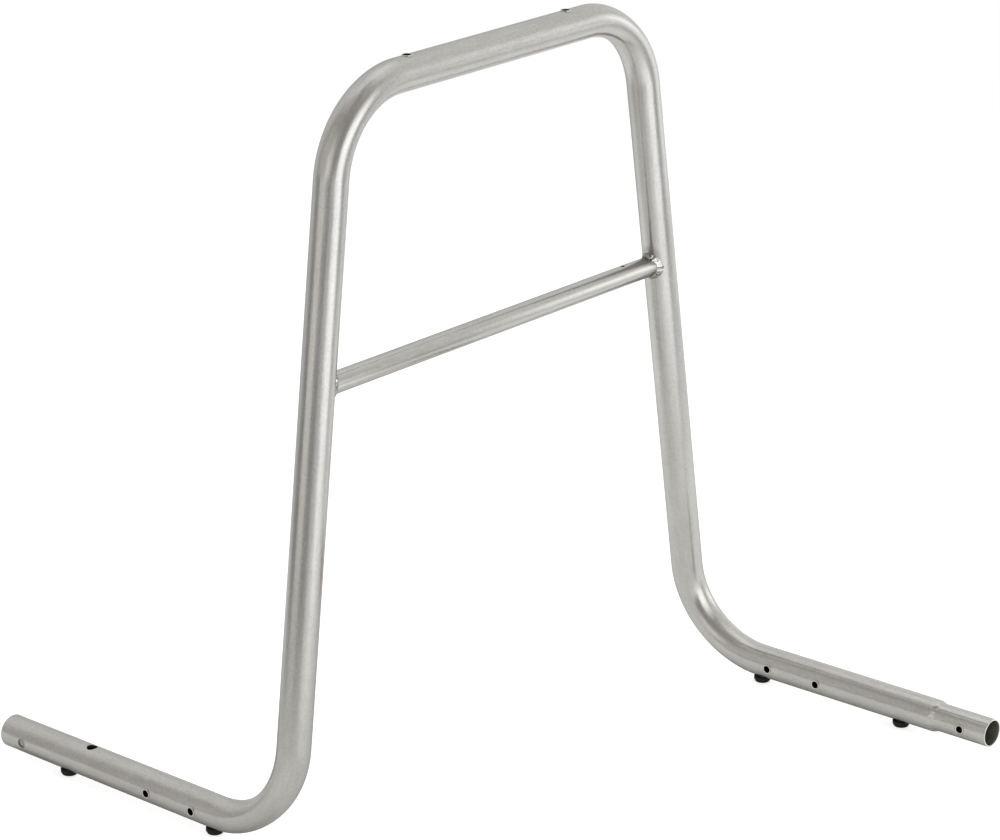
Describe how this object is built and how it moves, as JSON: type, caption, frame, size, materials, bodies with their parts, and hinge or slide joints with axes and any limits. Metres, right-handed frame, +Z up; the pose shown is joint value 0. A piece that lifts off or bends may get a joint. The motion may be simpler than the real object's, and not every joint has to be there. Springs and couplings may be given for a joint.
{
  "type": "bike parking stand",
  "caption": "Modular bike parking stand bent from one round tube: a tapered loop with a welded crossbar, legs running opposite ways, a socket and spigot to join sections, and screw-in feet.",
  "frame": {"origin": "on the floor, in the middle of the bounding box", "axes": "+X along the top bar, from the socket leg to the spigot leg; +Y the way the socket leg points; +Z up"},
  "size_m": [0.7882, 0.925, 0.8992],
  "materials": {
    "tube_metal": "satin, grained along the tube",
    "weld_metal": "bright as-welded ripples",
    "plated_steel": "zinc plated",
    "foot_rubber": "matt moulded"
  },
  "bodies": {
    "root": {"frame_tube": "tube_metal", "crossbar": "tube_metal", "weld_socket_side": "weld_metal", "weld_spigot_side": "weld_metal", "foot_nut_1": "plated_steel", "foot_nut_2": "plated_steel", "foot_nut_3": "plated_steel", "foot_nut_4": "plated_steel", "side_nut_1": "plated_steel", "side_nut_2": "plated_steel", "side_nut_3": "plated_steel", "side_nut_4": "plated_steel", "top_nut_1": "plated_steel", "top_nut_2": "plated_steel", "spigot_nut": "plated_steel"},
    "foot_1_stud": {"foot_stud_1": "plated_steel"},
    "foot_1_pad": {"foot_pad_1": "foot_rubber"},
    "foot_2_stud": {"foot_stud_2": "plated_steel"},
    "foot_2_pad": {"foot_pad_2": "foot_rubber"},
    "foot_3_stud": {"foot_stud_3": "plated_steel"},
    "foot_3_pad": {"foot_pad_3": "foot_rubber"},
    "foot_4_stud": {"foot_stud_4": "plated_steel"},
    "foot_4_pad": {"foot_pad_4": "foot_rubber"}
  },
  "joints": [
    {"name": "foot_1_height", "type": "slide", "parent": "root", "child": "foot_1_stud", "axis": [0, 0, 1], "range_m": [-0.008, 0]},
    {"name": "foot_1_turn", "type": "hinge", "parent": "foot_1_stud", "child": "foot_1_pad", "pos_m": [-0.3729, 0.3625, 0], "axis": [0, 0, 1], "range_deg": [-2304, 0]},
    {"name": "foot_2_height", "type": "slide", "parent": "root", "child": "foot_2_stud", "axis": [0, 0, 1], "range_m": [-0.008, 0]},
    {"name": "foot_2_turn", "type": "hinge", "parent": "foot_2_stud", "child": "foot_2_pad", "pos_m": [-0.3729, 0.1135, 0], "axis": [0, 0, 1], "range_deg": [-2304, 0]},
    {"name": "foot_3_height", "type": "slide", "parent": "root", "child": "foot_3_stud", "axis": [0, 0, 1], "range_m": [-0.008, 0]},
    {"name": "foot_3_turn", "type": "hinge", "parent": "foot_3_stud", "child": "foot_3_pad", "pos_m": [0.3741, -0.1165, 0], "axis": [0, 0, 1], "range_deg": [-2304, 0]},
    {"name": "foot_4_height", "type": "slide", "parent": "root", "child": "foot_4_stud", "axis": [0, 0, 1], "range_m": [-0.008, 0]},
    {"name": "foot_4_turn", "type": "hinge", "parent": "foot_4_stud", "child": "foot_4_pad", "pos_m": [0.3741, -0.33, 0], "axis": [0, 0, 1], "range_deg": [-2304, 0]}
  ],
  "couplings": [
    {"joint": "foot_1_turn", "follows": "foot_1_height", "rad_per_m": 5026.5},
    {"joint": "foot_2_turn", "follows": "foot_2_height", "rad_per_m": 5026.5},
    {"joint": "foot_3_turn", "follows": "foot_3_height", "rad_per_m": 5026.5},
    {"joint": "foot_4_turn", "follows": "foot_4_height", "rad_per_m": 5026.5}
  ]
}
